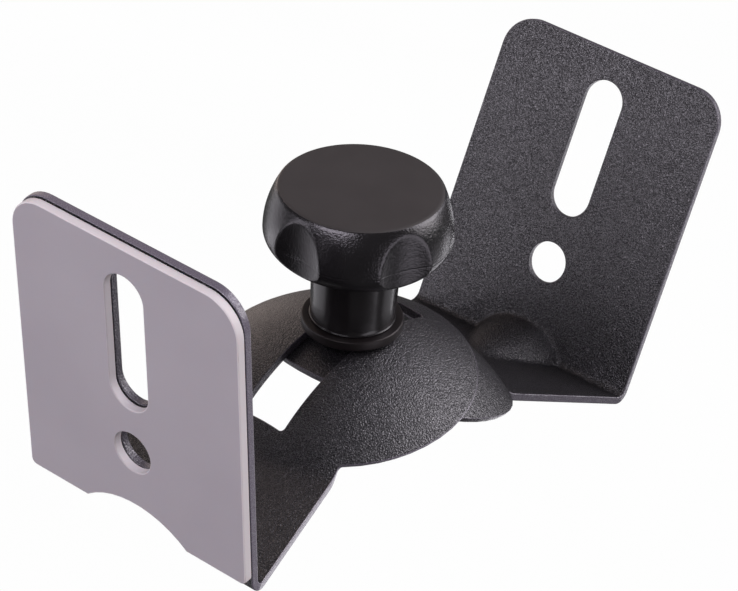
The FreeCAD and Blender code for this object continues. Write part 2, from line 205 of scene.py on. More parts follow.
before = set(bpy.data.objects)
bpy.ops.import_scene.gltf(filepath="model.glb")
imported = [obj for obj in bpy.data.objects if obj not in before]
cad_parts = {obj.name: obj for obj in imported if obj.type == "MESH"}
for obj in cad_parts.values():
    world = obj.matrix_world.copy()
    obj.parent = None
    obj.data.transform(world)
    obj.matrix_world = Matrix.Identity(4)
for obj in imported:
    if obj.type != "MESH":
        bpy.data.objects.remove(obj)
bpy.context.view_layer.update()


# Placements


def turn(angle, axis):
    return Matrix.Rotation(math.radians(angle), 4, axis)


def speaker_turn():
    return turn(SPEAKER_TILT, "Y") @ turn(SPEAKER_ROLL, "X") @ turn(180 - SPEAKER_SWIVEL, "Z")


def speaker_place():
    own_centre = Vector((SPEAKER_FORM.dome_x, 0.0, SPEAKER_FORM.rise - SPEAKER_FORM.outer_r))
    return Matrix.Translation(JOINT_CENTRE) @ speaker_turn() @ Matrix.Translation(-own_centre)


def clamp_place():
    return Matrix.Translation(JOINT_CENTRE) @ speaker_turn() @ turn(CLAMP_TILT, "Y")


def wall_place():
    return Matrix.Translation(Vector((0.0, 0.0, -MOUNT_HOLE_Z)))


# Helpers for vectors and meshes


def unit(vectors):
    return vectors / np.maximum(np.linalg.norm(vectors, axis=-1, keepdims=True), TINY)


def smooth_min(first, second, softness):
    # The lesser of two values, rounded off where they meet
    near = np.maximum(softness - np.abs(first - second), 0) / softness
    return np.minimum(first, second) - near ** 2 * softness / 4


def placed_mesh(name, points, faces, place):
    # An object whose mesh is in its place, in metres
    placed = np.array(place)
    points = (points @ placed[:3, :3].T + placed[:3, 3]) * MM
    mesh = bpy.data.meshes.new(name)
    mesh.from_pydata(points.tolist(), [], [tuple(int(i) for i in face) for face in faces])
    mesh.update()
    mesh.shade_smooth()
    made = bpy.data.objects.new(name, mesh)
    bpy.context.scene.collection.objects.link(made)
    return made


# Outlines, as closed loops of flat (u, v) points


def arc_points(centre, radius, start, end):
    # Points along an arc in degrees, both ends included
    steps = max(2, int(math.ceil(abs(end - start) / ARC_STEP_ANGLE)))
    angles = np.radians(np.linspace(start, end, steps + 1))
    return np.stack([centre[0] + radius * np.cos(angles), centre[1] + radius * np.sin(angles)], 1)


def line_points(start, end):
    # Points strictly between the two ends
    start, end = np.asarray(start, float), np.asarray(end, float)
    steps = max(1, int(round(np.linalg.norm(end - start) / OUTLINE_STEP)))
    shares = np.linspace(0, 1, steps + 1)[1:-1, None]
    return start + (end - start) * shares


def joined(corners_and_arcs):
    # A closed loop through arcs, with straight runs filled in between them
    loop = []
    for i, piece in enumerate(corners_and_arcs):
        following = corners_and_arcs[(i + 1) % len(corners_and_arcs)]
        loop.append(piece)
        loop.append(line_points(piece[-1], following[0]))
    return np.concatenate(loop)


def obround_loop(low, high, half_width):
    return joined([
        arc_points((low + half_width, 0), half_width, 90, 270),
        arc_points((high - half_width, 0), half_width, -90, 90),
    ])


def round_loop(centre_u, radius):
    return arc_points((centre_u, 0), radius, 0, 360)[:-1]


def rounded_box_loop(low, high, half_width, radius):
    near, far = low + radius, high - radius
    side = half_width - radius
    return joined([
        arc_points((far, side), radius, 0, 90),
        arc_points((near, side), radius, 90, 180),
        arc_points((near, -side), radius, 180, 270),
        arc_points((far, -side), radius, 270, 360),
    ])


def plate_u(z):
    # The flat coordinate of a height on the upright plate
    return BEND_OUTER_R - BEND_ARC - (z - BEND_OUTER_R)


def fold_x(u):
    # How far out the inner face of the sheet is, at flat coordinate u
    angle = np.clip((BEND_OUTER_R - u) / BEND_INNER_R, 0, math.pi / 2)
    return np.where(u >= BEND_OUTER_R, u, BEND_OUTER_R - BEND_INNER_R * np.sin(angle))


def base_half_width(x):
    return PLATE_HALF_WIDTH - NECK_SLOPE * np.maximum(x - TAPER_START_X, 0)


def sheet_outline(form):
    rim_r = form.outer_r * math.sin(math.radians(form.cap_angle))
    # Fillet between the tapered neck and the round rim
    slant = np.array([1, -NECK_SLOPE]) / math.hypot(1, NECK_SLOPE)
    outward = np.array([NECK_SLOPE, 1]) / math.hypot(1, NECK_SLOPE)
    start = np.array([BEND_OUTER_R, base_half_width(BEND_OUTER_R)]) + NECK_CORNER_R * outward
    to_axis = start - np.array([form.dome_x, 0])
    along = to_axis @ slant
    gap = to_axis @ to_axis - (rim_r + NECK_CORNER_R) ** 2
    fillet = start + slant * (-along - math.sqrt(along ** 2 - gap))
    from_axis = fillet - np.array([form.dome_x, 0])
    rim_angle = math.degrees(math.atan2(from_axis[1], from_axis[0]))
    line_angle = math.degrees(math.atan2(-outward[1], -outward[0]))
    rim = arc_points((form.dome_x, 0), rim_r, 0, rim_angle)
    corner = arc_points(fillet, NECK_CORNER_R, rim_angle - 180, line_angle)
    bend_u = np.linspace(BEND_OUTER_R, BEND_OUTER_R - BEND_ARC, BEND_STEPS + 1)
    bend = np.stack([bend_u, base_half_width(fold_x(bend_u))], 1)
    top = plate_u(PLATE_HEIGHT)
    corner_centre = (top + PLATE_CORNER_R, PLATE_HALF_WIDTH - PLATE_CORNER_R)
    plate_corner = arc_points(corner_centre, PLATE_CORNER_R, 90, 180)
    half = [
        rim,
        corner[1:],
        line_points(corner[-1], bend[0]),
        bend,
        line_points(bend[-1], plate_corner[0]),
        plate_corner,
        line_points(plate_corner[-1], (top, 0)),
        np.array([[top, 0.0]]),
    ]
    upper = np.concatenate(half)
    lower = upper[1:-1][::-1] * np.array([1, -1])
    return np.concatenate([upper, lower])


def sheet_holes(form):
    slot_low = plate_u(MOUNT_SLOT_HIGH_Z)
    slot_high = plate_u(MOUNT_SLOT_LOW_Z)
    near = form.dome_x - CLAMP_SLOT_NEAR
    far = form.dome_x + CLAMP_SLOT_FAR
    return [
        obround_loop(slot_low, slot_high, MOUNT_SLOT_HALF_WIDTH),
        round_loop(plate_u(MOUNT_HOLE_Z), MOUNT_HOLE_R),
        rounded_box_loop(near, far, CLAMP_SLOT_HALF_WIDTH, CLAMP_SLOT_CORNER_R),
    ]


# The curved upper face of a folded sheet


def dome_height(r, form):
    outer_r = form.outer_r
    centre_z = form.rise - outer_r
    blend = DOME_FOOT_BLEND_R
    reach = outer_r + blend
    blend_x = math.sqrt(reach ** 2 - (SHEET + blend - centre_z) ** 2)
    foot_r = outer_r * blend_x / reach
    ball = centre_z + np.sqrt(np.maximum(outer_r ** 2 - r ** 2, 0))
    foot = SHEET + blend - np.sqrt(np.maximum(blend ** 2 - (blend_x - r) ** 2, 0))
    return np.where(r < foot_r, ball, np.where(r < blend_x, foot, SHEET))


def dart_field(p, form):
    # Below zero inside the folded sheet or the dart, rounded off where the two meet
    x, y, z = p[:, 0], p[:, 1], p[:, 2]
    in_corner = (x < BEND_OUTER_R) & (z < BEND_OUTER_R)
    corner = BEND_INNER_R - np.hypot(x - BEND_OUTER_R, z - BEND_OUTER_R)
    fold = np.where(in_corner, corner, np.minimum(x - SHEET, z - SHEET))
    width = form.dart_half_width * (1 - DART_NARROWING * np.clip(x, 0, DART_LENGTH))
    share = np.abs(y) / width
    run = np.maximum((x - SHEET) / DART_LENGTH + (z - SHEET) / form.dart_height, TINY)
    level = run ** DART_FULLNESS + share ** DART_FLATNESS - 1
    rate = DART_FULLNESS * run ** (DART_FULLNESS - 1)
    side_rate = DART_FLATNESS * share ** (DART_FLATNESS - 1) / width
    slope_x = rate / DART_LENGTH + side_rate * share * DART_NARROWING * form.dart_half_width
    slope_y = side_rate
    slope_z = rate / form.dart_height
    rib = level / np.sqrt(slope_x ** 2 + slope_y ** 2 + slope_z ** 2)
    return smooth_min(fold, rib, DART_SOFTNESS)


def with_dart(points, u, v, form):
    # Moves points outward, away from a line along the fold's outer side, until they are
    # on the dart
    zone = (u > DART_ZONE_U[0]) & (u < DART_ZONE_U[1]) & (np.abs(v) < DART_ZONE_V)
    if not zone.any():
        return points
    p = points[zone]
    source = np.stack([np.full(len(p), DART_RAY_FROM), p[:, 1], np.full(len(p), DART_RAY_FROM)], 1)
    ray = p - source
    length = np.linalg.norm(ray, axis=1)
    ray = ray / length[:, None]
    low, high = length.copy(), length + DART_RAY_REACH
    for _ in range(DART_SEARCH_STEPS):
        middle = (low + high) / 2
        inside = dart_field(source + ray * middle[:, None], form) < 0
        low = np.where(inside, middle, low)
        high = np.where(inside, high, middle)
    out = points.copy()
    out[zone] = source + ray * low[:, None]
    return out


def folded_face(u, v, form):
    # Inner face of the plate, inside of the bend, and top of the base with its dome
    angle = np.clip((BEND_OUTER_R - u) / BEND_INNER_R, 0, math.pi / 2)
    on_plate = np.maximum(BEND_OUTER_R - BEND_ARC - u, 0)
    x = fold_x(u)
    z = BEND_OUTER_R - BEND_INNER_R * np.cos(angle) + on_plate
    r = np.hypot(u - form.dome_x, v)
    z = np.where(u >= BEND_OUTER_R, dome_height(r, form), z)
    return with_dart(np.stack([x, v, z], 1), u, v, form)


def sheet_frame(points, surface):
    # Places and unit normals of flat points on a curved surface
    u, v = points[:, 0], points[:, 1]
    along_u = surface(u + SLOPE_STEP, v) - surface(u - SLOPE_STEP, v)
    along_v = surface(u, v + SLOPE_STEP) - surface(u, v - SLOPE_STEP)
    return surface(u, v), unit(np.cross(along_u, along_v))


# Meshes


def inside_loops(points, loops):
    # Even-odd test against closed loops
    inside = np.zeros(len(points), bool)
    for loop in loops:
        a, b = loop, np.roll(loop, -1, axis=0)
        for (ax, ay), (bx, by) in zip(a, b):
            if ay == by:
                continue
            crosses = (ay > points[:, 1]) != (by > points[:, 1])
            at = ax + (points[:, 1] - ay) * (bx - ax) / (by - ay)
            inside ^= crosses & (points[:, 0] < at)
    return inside


def clear_of_loops(points, loops):
    # Points that aren't too near any point of the loops
    keep = np.ones(len(points), bool)
    for loop in loops:
        for i in range(0, len(points), POINTS_AT_A_TIME):
            some = slice(i, i + POINTS_AT_A_TIME)
            gaps = np.linalg.norm(points[some, None, :] - loop[None, :, :], axis=2)
            keep[some] &= gaps.min(1) > GRID_CLEARANCE
    return keep


def loop_inward(loop):
    # Unit direction from each loop point into the sheet, left of the direction of travel
    ahead = unit(np.roll(loop, -1, axis=0) - loop)
    behind = unit(loop - np.roll(loop, 1, axis=0))
    travel = unit(ahead + behind)
    return np.stack([-travel[:, 1], travel[:, 0]], 1)


def signed_area(loop):
    following = np.roll(loop, -1, axis=0)
    return 0.5 * np.sum(loop[:, 0] * following[:, 1] - following[:, 0] * loop[:, 1])


def grid_points(outline, fine_zones):
    # A coarse triangular grid, with a finer one in the zones
    low, high = outline.min(0), outline.max(0)
    rows = []
    for spacing, wants_fine in ((GRID_COARSE, False), (GRID_FINE, True)):
        row_gap = spacing * math.sqrt(3) / 2
        count_v = int((high[1] - low[1]) / row_gap)
        count_u = int((high[0] - low[0]) / spacing)
        jj, ii = np.mgrid[0:count_v + 1, 0:count_u + 1]
        u = low[0] + (ii + 0.5 * (jj % 2)) * spacing
        v = low[1] + jj * row_gap
        flat = np.stack([u.ravel(), v.ravel()], 1)
        fine = np.zeros(len(flat), bool)
        for (u0, u1), half_v in fine_zones:
            fine |= (flat[:, 0] > u0) & (flat[:, 0] < u1) & (np.abs(flat[:, 1]) < half_v)
        rows.append(flat[fine == wants_fine])
    return np.concatenate(rows)


def front_corner(radius):
    # An edge's rounded front corner, from one step after the border of the front face
    rows = []
    for i in range(1, EDGE_STEPS + 1):
        a = math.pi / 2 * i / EDGE_STEPS
        along, across = math.sin(a), math.cos(a)
        rows.append(Row(radius * (1 - along), radius * (1 - across), -along, -across, 1, 0))
    return rows


def sheet_edge():
    # Both corners of a cut sheet edge are rounded alike
    front = front_corner(EDGE_ROUND)
    back = [row._replace(depth=SHEET - row.depth, down=-row.down) for row in reversed(front)]
    return front + back


def pad_edge():
    # A rounded front corner, then a step in to the dark backing
    step = PAD_THICKNESS - PAD_BACKING
    return front_corner(PAD_EDGE_ROUND) + [
        Row(0, step, -1, 0, 1, 0),
        Row(0, step, 0, 1, 0, 1),
        Row(PAD_BACKING_INSET, step, 0, 1, 0, 1),
        Row(PAD_BACKING_INSET, step, -1, 0, 0, 1),
        Row(PAD_BACKING_INSET, PAD_THICKNESS, -1, 0, 0, 1),
    ]


def flat_triangles(outline, loops, fine_zones):
    # Triangles that fill the loops. The loops' own points come first.
    grid = grid_points(outline, fine_zones)
    grid = grid[inside_loops(grid, loops)]
    grid = grid[clear_of_loops(grid, loops)]
    borders = []
    start = 0
    for loop in loops:
        n = len(loop)
        borders += [(start + i, start + (i + 1) % n) for i in range(n)]
        start += n
    flat = np.concatenate(loops + [grid])
    made = delaunay_2d_cdt([Vector(p) for p in flat], borders, [], 0, WELD_DISTANCE)
    points = np.array([tuple(p) for p in made[0]])
    faces = np.array([f for f in made[2] if len(f) == 3])
    return points, faces[inside_loops(points[faces].mean(1), loops)]


def edge_strips(loop, surface, section, tone):
    # Points, normals and looks along a cut edge, row by row of its section
    at, normal = sheet_frame(loop, surface)
    ahead, _ = sheet_frame(loop + loop_inward(loop) * INWARD_STEP, surface)
    inward = ahead - at
    inward = unit(inward - normal * np.sum(inward * normal, axis=1, keepdims=True))
    strips = []
    for row in section:
        points = at + inward * row.inset - normal * row.depth
        facing = unit(inward * row.toward - normal * row.down)
        look = np.tile((row.edge * tone, float(row.backing)), (len(loop), 1))
        strips.append((points, facing, look))
    return strips


def quads_between(rings, spots):
    # Two rings at one spot are a sharp corner, with no face between them
    quads = []
    for i in range(len(rings) - 1):
        if spots[i] == spots[i + 1]:
            continue
        upper, lower = rings[i], rings[i + 1]
        quads += zip(upper, lower, np.roll(lower, -1), np.roll(upper, -1))
    return quads


def cut_sheet(name, outline, holes, surface, thickness, inset, section, edge_tone, fine_zones,
              place):
    # A pressed sheet: triangulated front and back faces joined by its cut edges.
    # The faces' border is inset from the cut by the radius of the edge's front corner.
    loops = [outline if signed_area(outline) > 0 else outline[::-1]]
    loops += [hole if signed_area(hole) < 0 else hole[::-1] for hole in holes]
    inner = [loop + loop_inward(loop) * inset for loop in loops]
    flat, triangles = flat_triangles(outline, inner, fine_zones)
    count = len(flat)
    front, normal = sheet_frame(flat, surface)
    vertices = [front, front - normal * thickness]
    normals = [normal, -normal]
    looks = [np.zeros((count, 2)), np.tile((0.0, 1.0), (count, 1))]
    faces = triangles.tolist() + (triangles[:, [0, 2, 1]] + count).tolist()
    spots = [(inset, 0)] + [(row.inset, row.depth) for row in section] + [(inset, thickness)]
    # Painted shade: the edges in the holes get a smaller share of the lighter edge tone
    tones = [edge_tone] + [edge_tone * SHADED_HOLE_EDGE_SHARE] * len(holes)
    used = 2 * count
    start = 0
    for loop, tone in zip(loops, tones):
        border = np.arange(start, start + len(loop))
        rings = [border]
        for points, facing, look in edge_strips(loop, surface, section, tone):
            vertices.append(points)
            normals.append(facing)
            looks.append(look)
            rings.append(np.arange(used, used + len(loop)))
            used += len(loop)
        rings.append(border + count)
        faces += quads_between(rings, spots)
        start += len(loop)
    return sheet_object(name, np.concatenate(vertices), np.concatenate(normals), faces,
                        np.concatenate(looks), place)


def sheet_object(name, points, normals, faces, looks, place):
    # A placed mesh with its own normals and with its looks as attributes
    made = placed_mesh(name, points, faces, place)
    for column, share in enumerate(("edge", "backing")):
        values = looks[:, column].astype(np.float32)
        made.data.attributes.new(share, "FLOAT", "POINT").data.foreach_set("value", values)
    normals = normals @ np.array(place)[:3, :3].T
    made.data.normals_split_custom_set_from_vertices(normals.tolist())
    return made


def bracket(name, form, place):
    def surface(u, v):
        return folded_face(u, v, form)

    fine_zones = [(DART_ZONE_U, DART_ZONE_V), (BEND_ZONE_U, PLATE_HALF_WIDTH)]
    return cut_sheet(name, sheet_outline(form), sheet_holes(form), surface, SHEET, EDGE_ROUND,
                     sheet_edge(), form.edge_tone, fine_zones, place)


def pad(name, place):
    def surface(u, v):
        # Flat coordinate u runs down the plate, so the pad's front looks along -X
        return np.stack([np.full(len(u), -PAD_THICKNESS), -v, -u], 1)

    high, low = -PAD_HIGH_Z, -PAD_LOW_Z
    notch_u = -(PAD_NOTCH_TOP_Z - PAD_NOTCH_R)
    half_notch = math.degrees(math.acos((notch_u - low) / PAD_NOTCH_R))
    side_top = PLATE_HALF_WIDTH - PLATE_CORNER_R
    side_low = PLATE_HALF_WIDTH - PAD_LOW_CORNER_R
    outline = joined([
        arc_points((low - PAD_LOW_CORNER_R, side_low), PAD_LOW_CORNER_R, 0, 90),
        arc_points((high + PLATE_CORNER_R, side_top), PLATE_CORNER_R, 90, 180),
        arc_points((high + PLATE_CORNER_R, -side_top), PLATE_CORNER_R, 180, 270),
        arc_points((low - PAD_LOW_CORNER_R, -side_low), PAD_LOW_CORNER_R, 270, 360),
        arc_points((notch_u, 0), PAD_NOTCH_R, 180 + half_notch, 180 - half_notch),
    ])
    slot_high = PAD_DROP - MOUNT_SLOT_HIGH_Z
    slot_low = PAD_DROP - MOUNT_SLOT_LOW_Z
    holes = [
        obround_loop(slot_high, slot_low, MOUNT_SLOT_HALF_WIDTH),
        round_loop(-MOUNT_HOLE_Z, MOUNT_HOLE_R),
    ]
    return cut_sheet(name, outline, holes, surface, PAD_THICKNESS, PAD_EDGE_ROUND, pad_edge(),
                     edge_tone=1.0, fine_zones=[], place=place)


# Turned pieces


def corner_round(before, corner, after, radius, steps):
    # Points that round a corner of a section, tangent to both of its straight sides
    before, corner, after = (np.asarray(p, float) for p in (before, corner, after))
    to_before, to_after = unit(before - corner), unit(after - corner)
    half = math.acos(float(np.clip(to_before @ to_after, -1, 1))) / 2
    setback = radius / math.tan(half)
    centre = corner + unit(to_before + to_after) * radius / math.sin(half)
    start, end = corner + to_before * setback - centre, corner + to_after * setback - centre
    points = []
    for i in range(steps + 1):
        points.append(centre + unit(start * (steps - i) + end * i) * radius)
    return points


def thinned(points, spacing):
    # The section with long runs divided, so that every step is at most the spacing
    section = [np.asarray(points[0], float)]
    for point in points[1:]:
        point = np.asarray(point, float)
        steps = max(1, int(math.ceil(np.linalg.norm(point - section[-1]) / spacing)))
        first = section[-1]
        for i in range(1, steps + 1):
            section.append(first + (point - first) * i / steps)
    return np.array(section)


def turned(name, section, place, turns, radius_limit=None):
    # A closed section of (radius, height) swept round the clamp axis
    angles = np.linspace(0, 2 * math.pi, turns, endpoint=False)
    vertices = []
    rings = []
    used = 0
    for radius, height in section:
        if radius < TINY:
            vertices.append(np.array([[0, 0, height]]))
            rings.append(np.array([used]))
            used += 1
            continue
        radii = np.full(turns, radius)
        if radius_limit is not None:
            radii = radius_limit(radii, angles, height)
        heights = np.full(turns, height)
        vertices.append(np.stack([radii * np.cos(angles), radii * np.sin(angles), heights], 1))
        rings.append(np.arange(used, used + turns))
        used += turns
    faces = []
    for lower, upper in zip(rings, rings[1:] + rings[:1]):
        if len(lower) == 1 and len(upper) == 1:
            continue
        for i in range(turns):
            j = (i + 1) % turns
            if len(lower) == 1:
                faces.append((lower[0], upper[j], upper[i]))
            elif len(upper) == 1:
                faces.append((lower[i], lower[j], upper[0]))
            else:
                faces.append((lower[i], lower[j], upper[j], upper[i]))
    return placed_mesh(name, np.concatenate(vertices), faces, place)


def scallop_limit(radii, angles, height):
    # Finger scallops: shallow round cuts along the knob's height
    reach = SCALLOP_FLOOR_R + SCALLOP_CURVE_R
    pitch = 2 * math.pi / KNOB_SCALLOPS
    off = (angles - math.radians(SCALLOP_TURN) + pitch / 2) % pitch - pitch / 2
    under_root = SCALLOP_CURVE_R ** 2 - (reach * np.sin(off)) ** 2
    hits = under_root > 0
    limit = np.where(hits, reach * np.cos(off) - np.sqrt(np.maximum(under_root, 0)), 2 * KNOB_R)
    eased = smooth_min(radii, limit, SCALLOP_SOFTNESS)
    # The parting line also runs across the scallops
    off_line = abs(height - KNOB_EQUATOR) / PARTING_HALF_WIDTH
    groove = np.where(hits & (radii > limit), PARTING_DEPTH * max(1 - off_line, 0), 0)
    # The limit only holds on the outside of the knob, not in its bore
    return np.where(radii > STEM_TOP_R, eased - groove, radii)


def knob_section():
    # Bore and its brass pocket, stem with a lip at its foot, round head, flat top
    ledge = KNOB_R - KNOB_TOP_R
    shoulder_r = (KNOB_UPPER_HEIGHT ** 2 + ledge ** 2) / (2 * ledge)
    shoulder_turn = math.asin(KNOB_UPPER_HEIGHT / shoulder_r)
    top = KNOB_EQUATOR + KNOB_UPPER_HEIGHT
    meet_drop = KNOB_LOWER_HEIGHT * math.sqrt(1 - (STEM_TOP_R / KNOB_R) ** 2)
    shoulder = []
    for a in np.linspace(0, shoulder_turn, SHOULDER_STEPS + 1):
        radius = KNOB_R - shoulder_r * (1 - math.cos(a))
        shoulder.append((radius, KNOB_EQUATOR + shoulder_r * math.sin(a)))
    underside = []
    low_angle = math.asin(meet_drop / KNOB_LOWER_HEIGHT)
    for a in np.linspace(low_angle, 0, UNDERSIDE_STEPS + 1):
        radius = KNOB_R * math.cos(a)
        underside.append((radius, KNOB_EQUATOR - KNOB_LOWER_HEIGHT * math.sin(a)))
    meet = underside[0]
    foot = (STEM_LIP_R, STEM_LOW)
    lip_top = (STEM_LIP_R, STEM_LOW + STEM_LIP_HEIGHT)
    neck = (STEM_LOW_R, STEM_LOW + STEM_LIP_HEIGHT)
    shape = [
        (0, KNOB_BORE_END),
        (KNOB_BORE_R, KNOB_BORE_END),
        (KNOB_BORE_R, INSERT_HIGH),
        (INSERT_POCKET_R, INSERT_HIGH),
        (INSERT_POCKET_R, INSERT_LOW),
        (KNOB_BORE_R, INSERT_LOW),
        (KNOB_BORE_R, STEM_LOW),
    ]
    shape += corner_round((KNOB_BORE_R, STEM_LOW), foot, lip_top, STEM_FOOT_ROUND, steps=3)
    shape += corner_round(foot, lip_top, neck, STEM_FOOT_ROUND, steps=4)
    shape += corner_round(lip_top, neck, meet, STEM_FOOT_ROUND, steps=2)
    shape += corner_round(neck, meet, underside[UNDERSIDE_AIM], KNOB_UNDER_ROUND, steps=5)
    lower_curve = underside[UNDERSIDE_AIM + 1:]
    shape += [p for p in lower_curve if p[1] < KNOB_EQUATOR - PARTING_HALF_WIDTH]
    shape += [
        (KNOB_R, KNOB_EQUATOR - PARTING_HALF_WIDTH),
        (KNOB_R - PARTING_DEPTH, KNOB_EQUATOR),
        (KNOB_R, KNOB_EQUATOR + PARTING_HALF_WIDTH),
    ]
    corner = (KNOB_TOP_R, top)
    rim = corner_round(shoulder[SHOULDER_AIM], corner, (0, top), KNOB_RIM_ROUND, steps=8)
    shape += [p for p in shoulder[1:] if p[1] < rim[0][1]]
    shape += rim
    shape += [(0, top)]
    return thinned(shape, KNOB_STEP)


def washer_section():
    # The hub's underside follows the dome that it seats on
    first = math.asin(WASHER_BORE_R / WASHER_SEAT_R)
    last = math.asin(WASHER_HUB_R / WASHER_SEAT_R)
    low = (WASHER_R, WASHER_LOW)
    high = (WASHER_R, WASHER_TOP)
    bore_top = (WASHER_BORE_R, WASHER_TOP)
    hub_low = (WASHER_HUB_R, WASHER_LOW)
    shape = [bore_top]
    for a in np.linspace(first, last, WASHER_SEAT_POINTS):
        shape.append((WASHER_SEAT_R * math.sin(a), WASHER_SEAT_R * math.cos(a)))
    shape += [hub_low]
    shape += corner_round(hub_low, low, high, WASHER_EDGE_ROUND, steps=4)
    shape += corner_round(low, high, bore_top, WASHER_EDGE_ROUND, steps=4)
    return thinned(shape, WASHER_STEP)


# Materials


class Look:
    # One procedural material, with short calls for the nodes it is made of

    def __init__(self, name):
        self.material = bpy.data.materials.new(name)
        self.material.use_nodes = True
        self.tree = self.material.node_tree
        self.shader = self.tree.nodes["Principled BSDF"]
        self.coords = self.node("ShaderNodeTexCoord").outputs["Object"]

    def node(self, kind, **settings):
        made = self.tree.nodes.new(kind)
        for key, value in settings.items():
            setattr(made, key, value)
        return made

    def link(self, output, socket):
        self.tree.links.new(output, socket)

    def set(self, **values):
        for key, value in values.items():
            self.shader.inputs[key.replace("_", " ")].default_value = value

    def noise(self, size_mm, detail, roughness):
        made = self.node("ShaderNodeTexNoise")
        made.inputs["Scale"].default_value = 1 / (size_mm * MM)
        made.inputs["Detail"].default_value = detail
        made.inputs["Roughness"].default_value = roughness
        self.link(self.coords, made.inputs["Vector"])
        return made.outputs["Fac"]

    def cells(self, size_mm, smoothness):
        made = self.node("ShaderNodeTexVoronoi", feature="SMOOTH_F1")
        made.inputs["Scale"].default_value = 1 / (size_mm * MM)
        made.inputs["Smoothness"].default_value = smoothness
        self.link(self.coords, made.inputs["Vector"])
        return made.outputs["Distance"]

    def math(self, operation, a, b):
        made = self.node("ShaderNodeMath", operation=operation)
        for socket, value in zip(made.inputs[:2], (a, b)):
            if isinstance(value, (int, float)):
                socket.default_value = value
            else:
                self.link(value, socket)
        return made.outputs[0]

    def spread(self, value, low, high, out_low, out_high):
        made = self.node("ShaderNodeMapRange")
        made.inputs["From Min"].default_value = low
        made.inputs["From Max"].default_value = high
        made.inputs["To Min"].default_value = out_low
        made.inputs["To Max"].default_value = out_high
        self.link(value, made.inputs["Value"])
        return made.outputs["Result"]

    def mix(self, share, first, second):
        made = self.node("ShaderNodeMix", data_type="RGBA")
        self.link(share, made.inputs["Factor"])
        for place, value in ((MIX_FIRST, first), (MIX_SECOND, second)):
            socket = made.inputs[place]
            if isinstance(value, tuple):
                socket.default_value = (*value, 1)
            else:
                self.link(value, socket)
        return made.outputs[MIX_RESULT]

    def attribute(self, name):
        return self.node("ShaderNodeAttribute", attribute_name=name).outputs["Fac"]

    def bump(self, height, distance_mm, strength=1.0):
        made = self.node("ShaderNodeBump")
        made.inputs["Distance"].default_value = distance_mm * MM
        made.inputs["Strength"].default_value = strength
        self.link(height, made.inputs["Height"])
        self.link(made.outputs["Normal"], self.shader.inputs["Normal"])

    def colour(self, output):
        self.link(output, self.shader.inputs["Base Color"])

    def roughness(self, value, least, most, low=NOISE_LOW, high=NOISE_HIGH):
        self.link(self.spread(value, low, high, least, most), self.shader.inputs["Roughness"])

    def blotches(self, value, first, second, low=NOISE_LOW, high=NOISE_HIGH):
        # A colour that wanders between two tones
        return self.mix(self.spread(value, low, high, 0, 1), first, second)


def powder_coat():
    # Black coat with an orange-peel grain, painted lighter along the cut edges as painted light
    # that they catch, with the grain smoothed there
    dark, light = (0.0105, 0.0097, 0.0115), (0.0140, 0.0130, 0.0152)
    painted_edge_light = (0.105, 0.090, 0.118)
    look = Look("powder_coat_black")
    edge = look.attribute("edge")
    pebble = look.cells(size_mm=0.46, smoothness=0.25)
    speck = look.cells(size_mm=0.28, smoothness=0.25)
    worm = look.noise(size_mm=0.30, detail=2.0, roughness=0.6)
    cloud = look.noise(size_mm=24.0, detail=2.0, roughness=0.5)
    dips = look.math("ADD", look.math("MULTIPLY", pebble, 0.9), look.math("MULTIPLY", speck, 0.5))
    height = look.math("SUBTRACT", look.math("MULTIPLY", worm, 0.5), dips)
    smooth_edge = look.math("SUBTRACT", 1, look.math("MULTIPLY", edge, 0.85))
    look.bump(look.math("MULTIPLY", height, smooth_edge), distance_mm=0.17)
    coat = look.blotches(cloud, dark, light, low=0.35, high=0.65)
    # The lilac-grey on the cut edges is painted light, not a colour of the coat
    look.colour(look.mix(edge, coat, painted_edge_light))
    look.roughness(speck, least=0.22, most=0.33, low=0.1, high=0.6)
    sparkle = look.noise(size_mm=0.24, detail=1.0, roughness=0.5)
    glint = look.spread(sparkle, low=0.40, high=0.62, out_low=0.22, out_high=1.22)
    look.link(glint, look.shader.inputs["Specular IOR Level"])
    # The export drops a linked specular level, so the socket holds the level's mean
    look.set(Specular_IOR_Level=0.65, Specular_Tint=(1.0, 0.955, 1.02, 1))
    return look.material


def pad_rubber():
    # Pale grey sheet with a lighter rim, and a near-black backing that is painted shade along the
    # line between pad and plate
    dark, light = (0.295, 0.264, 0.294), (0.316, 0.284, 0.314)
    rim, painted_shade_line = (0.76, 0.69, 0.71), (0.012, 0.011, 0.012)
    look = Look("pad_rubber_grey")
    fine = look.noise(size_mm=0.25, detail=2.0, roughness=0.5)
    cloud = look.noise(size_mm=30.0, detail=2.0, roughness=0.5)
    look.bump(fine, distance_mm=0.03, strength=0.35)
    edge = look.math("MULTIPLY", look.attribute("edge"), 0.55)
    grey = look.mix(edge, look.blotches(cloud, dark, light), rim)
    # The backing's near-black is painted shade between the pad and the plate
    look.colour(look.mix(look.attribute("backing"), grey, painted_shade_line))
    look.roughness(fine, least=0.50, most=0.60)
    look.set(Specular_IOR_Level=0.35, Subsurface_Weight=0.05, Subsurface_Scale=0.001)
    return look.material


def knob_plastic():
    # Moulded head with a fine leather grain
    dark, light = (0.0070, 0.0062, 0.0068), (0.0095, 0.0086, 0.0094)
    look = Look("knob_plastic_black")
    grain = look.noise(size_mm=0.34, detail=2.0, roughness=0.55)
    pebble = look.cells(size_mm=0.50, smoothness=0.5)
    wave = look.noise(size_mm=6.0, detail=1.0, roughness=0.4)
    height = look.math("MULTIPLY", grain, 0.7)
    height = look.math("SUBTRACT", height, look.math("MULTIPLY", pebble, 0.5))
    look.bump(look.math("ADD", height, look.math("MULTIPLY", wave, 0.5)), distance_mm=0.08)
    look.colour(look.blotches(wave, dark, light))
    look.roughness(grain, least=0.15, most=0.22)
    look.set(Specular_IOR_Level=0.5, Specular_Tint=(1.0, 0.94, 1.03, 1))
    return look.material


